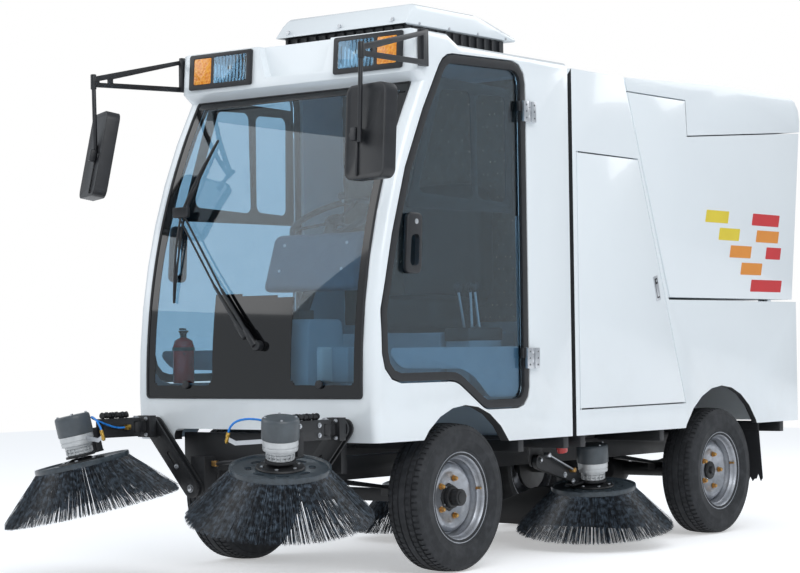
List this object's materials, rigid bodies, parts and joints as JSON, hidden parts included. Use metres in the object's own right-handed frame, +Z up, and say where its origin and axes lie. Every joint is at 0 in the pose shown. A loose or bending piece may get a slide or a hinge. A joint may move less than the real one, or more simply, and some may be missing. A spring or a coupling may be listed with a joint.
{
  "type": "compact street sweeper truck",
  "caption": "Small cab-over street sweeper with a glazed cab, tipping hopper, suction duct, front brushes on booms and brushes under the side.",
  "frame": {"origin": "on the ground, at the middle of the bounding box's footprint", "axes": "+X to the truck's left side, +Y rearwards from the cab to the hopper's door, +Z up"},
  "size_m": [1.7786, 4.4877, 2.468],
  "materials": {
    "white_paint": "gloss",
    "body_plastic": "satin",
    "black_trim": "matte",
    "frame_paint": "satin",
    "bare_steel": "satin",
    "wheel_paint": "satin",
    "tyre_rubber": "matte",
    "soft_rubber": "matte",
    "window_glass": "gloss",
    "bristles": "matte",
    "alloy": "satin",
    "interior": "matte",
    "seat_cover": "matte",
    "lamp_lens": "gloss"
  },
  "bodies": {
    "chassis": {"chassis_frame": "frame_paint", "front_axle": "frame_paint", "rear_axle": "frame_paint", "cab_shell": "white_paint", "cab_floor": "interior", "windscreen": "window_glass", "lamp_left": "lamp_lens", "lamp_right": "lamp_lens", "roof_aircon": "body_plastic", "mirror_left": "black_trim", "mirror_right": "black_trim", "wiper": "black_trim", "seat": "seat_cover", "steering_column": "black_trim", "engine_block": "frame_paint", "rear_body": "white_paint", "suction_nozzle": "frame_paint", "mud_flap_left": "soft_rubber", "mud_flap_right": "soft_rubber"},
    "steering_wheel": {"steering_wheel": "black_trim"},
    "tie_rod": {"tie_rod": "bare_steel"},
    "hopper": {"hopper": "white_paint"},
    "hopper_lid": {"hopper_lid": "white_paint"},
    "knuckle_left": {"knuckle_left": "bare_steel"},
    "wheel_front_left": {"rim_front_left": "wheel_paint", "tyre_front_left": "tyre_rubber"},
    "wheel_rear_left": {"rim_rear_left": "wheel_paint", "tyre_rear_left": "tyre_rubber"},
    "cab_door_left": {"cab_door_frame_left": "black_trim", "cab_door_glass_left": "window_glass"},
    "side_door_left": {"side_door_left": "white_paint"},
    "boom_left": {"front_boom_left": "frame_paint"},
    "arm_link_left": {"arm_link_left": "frame_paint"},
    "head_left": {"head_beam_left": "frame_paint", "brush_motor_front_left": "alloy"},
    "brush_front_left": {"brush_front_left": "bristles"},
    "mid_arm_left": {"mid_arm_left": "frame_paint", "brush_motor_mid_left": "alloy"},
    "brush_mid_left": {"brush_mid_left": "bristles"},
    "knuckle_right": {"knuckle_right": "bare_steel"},
    "wheel_front_right": {"rim_front_right": "wheel_paint", "tyre_front_right": "tyre_rubber"},
    "wheel_rear_right": {"rim_rear_right": "wheel_paint", "tyre_rear_right": "tyre_rubber"},
    "cab_door_right": {"cab_door_frame_right": "black_trim", "cab_door_glass_right": "window_glass"},
    "side_door_right": {"side_door_right": "white_paint"},
    "boom_right": {"front_boom_right": "frame_paint"},
    "arm_link_right": {"arm_link_right": "frame_paint"},
    "head_right": {"head_beam_right": "frame_paint", "brush_motor_front_right": "alloy"},
    "brush_front_right": {"brush_front_right": "bristles"},
    "mid_arm_right": {"mid_arm_right": "frame_paint", "brush_motor_mid_right": "alloy"},
    "brush_mid_right": {"brush_mid_right": "bristles"}
  },
  "joints": [
    {"name": "steer_left", "type": "hinge", "parent": "chassis", "child": "knuckle_left", "pos_m": [0.455, -0.863, 0.316], "axis": [0, 0, 1], "range_deg": [-30, 30]},
    {"name": "steer_right", "type": "hinge", "parent": "chassis", "child": "knuckle_right", "pos_m": [-0.455, -0.863, 0.316], "axis": [0, 0, 1], "range_deg": [-30, 30]},
    {"name": "tie_rod_eye", "type": "hinge", "parent": "knuckle_left", "child": "tie_rod", "pos_m": [0.455, -0.723, 0.279], "axis": [0, 0, 1], "range_deg": [-30, 30]},
    {"name": "steering_wheel_turn", "type": "hinge", "parent": "chassis", "child": "steering_wheel", "pos_m": [0.09, -1.003, 1.52], "axis": [0, 0.4695, 0.8829], "range_deg": [-540, 540]},
    {"name": "wheel_front_left_spin", "type": "hinge", "parent": "knuckle_left", "child": "wheel_front_left", "pos_m": [0.575, -0.863, 0.316], "axis": [1, 0, 0], "continuous": true},
    {"name": "wheel_rear_left_spin", "type": "hinge", "parent": "chassis", "child": "wheel_rear_left", "pos_m": [0.575, 1.355, 0.316], "axis": [1, 0, 0], "continuous": true},
    {"name": "cab_door_left_hinge", "type": "hinge", "parent": "chassis", "child": "cab_door_left", "pos_m": [0.684, -0.3565, 1.449], "axis": [0, 0, 1], "range_deg": [0, 75]},
    {"name": "side_door_left_hinge", "type": "hinge", "parent": "chassis", "child": "side_door_left", "pos_m": [0.6665, 0.06, 1.25], "axis": [0, 0, -1], "range_deg": [0, 80]},
    {"name": "boom_left_lift", "type": "hinge", "parent": "chassis", "child": "boom_left", "pos_m": [0.3, -1.478, 0.365], "axis": [0, 1, 0], "range_deg": [-8, 38]},
    {"name": "arm_link_left_level", "type": "hinge", "parent": "boom_left", "child": "arm_link_left", "pos_m": [0.53, -1.518, 0.63], "axis": [0, 1, 0], "range_deg": [-38, 8]},
    {"name": "arm_left_swing", "type": "hinge", "parent": "arm_link_left", "child": "head_left", "pos_m": [0.53, -1.613, 0.63], "axis": [0, 0, 1], "range_deg": [-8, 20]},
    {"name": "brush_front_left_spin", "type": "hinge", "parent": "head_left", "child": "brush_front_left", "pos_m": [0.55, -1.913, 0.49], "axis": [0.147, -0.147, 0.9781], "continuous": true},
    {"name": "mid_arm_left_lift", "type": "hinge", "parent": "chassis", "child": "mid_arm_left", "pos_m": [0.47, -0.003, 0.43], "axis": [1, 0, 0], "range_deg": [-1.5, 5]},
    {"name": "brush_mid_left_spin", "type": "hinge", "parent": "mid_arm_left", "child": "brush_mid_left", "pos_m": [0.51, 0.397, 0.285], "axis": [0.053, -0.1136, 0.9921], "continuous": true},
    {"name": "wheel_front_right_spin", "type": "hinge", "parent": "knuckle_right", "child": "wheel_front_right", "pos_m": [-0.575, -0.863, 0.316], "axis": [1, 0, 0], "continuous": true},
    {"name": "wheel_rear_right_spin", "type": "hinge", "parent": "chassis", "child": "wheel_rear_right", "pos_m": [-0.575, 1.355, 0.316], "axis": [1, 0, 0], "continuous": true},
    {"name": "cab_door_right_hinge", "type": "hinge", "parent": "chassis", "child": "cab_door_right", "pos_m": [-0.684, -0.3565, 1.449], "axis": [0, 0, -1], "range_deg": [0, 75]},
    {"name": "side_door_right_hinge", "type": "hinge", "parent": "chassis", "child": "side_door_right", "pos_m": [-0.6665, 0.06, 1.25], "axis": [0, 0, 1], "range_deg": [0, 80]},
    {"name": "boom_right_lift", "type": "hinge", "parent": "chassis", "child": "boom_right", "pos_m": [-0.3, -1.478, 0.365], "axis": [0, -1, 0], "range_deg": [-8, 38]},
    {"name": "arm_link_right_level", "type": "hinge", "parent": "boom_right", "child": "arm_link_right", "pos_m": [-0.53, -1.518, 0.63], "axis": [0, -1, 0], "range_deg": [-38, 8]},
    {"name": "arm_right_swing", "type": "hinge", "parent": "arm_link_right", "child": "head_right", "pos_m": [-0.53, -1.613, 0.63], "axis": [0, 0, -1], "range_deg": [-8, 20]},
    {"name": "brush_front_right_spin", "type": "hinge", "parent": "head_right", "child": "brush_front_right", "pos_m": [-0.55, -1.913, 0.49], "axis": [-0.147, -0.147, 0.9781], "continuous": true},
    {"name": "mid_arm_right_lift", "type": "hinge", "parent": "chassis", "child": "mid_arm_right", "pos_m": [-0.47, -0.003, 0.43], "axis": [1, 0, 0], "range_deg": [-1.5, 5]},
    {"name": "brush_mid_right_spin", "type": "hinge", "parent": "mid_arm_right", "child": "brush_mid_right", "pos_m": [-0.51, 0.397, 0.285], "axis": [-0.053, -0.1136, 0.9921], "continuous": true},
    {"name": "hopper_tip", "type": "hinge", "parent": "chassis", "child": "hopper", "pos_m": [0, 2.137, 1.197], "axis": [-1, 0, 0], "range_deg": [0, 80]},
    {"name": "hopper_lid_hinge", "type": "hinge", "parent": "hopper", "child": "hopper_lid", "pos_m": [0, 0.495, 2.212], "axis": [1, 0, 0], "range_deg": [0, 60]}
  ],
  "couplings": [
    {"joint": "steer_right", "follows": "steer_left", "ratio": 1},
    {"joint": "tie_rod_eye", "follows": "steer_left", "ratio": -1},
    {"joint": "steering_wheel_turn", "follows": "steer_left", "ratio": 18},
    {"joint": "arm_link_left_level", "follows": "boom_left_lift", "ratio": -1},
    {"joint": "arm_link_right_level", "follows": "boom_right_lift", "ratio": -1}
  ]
}
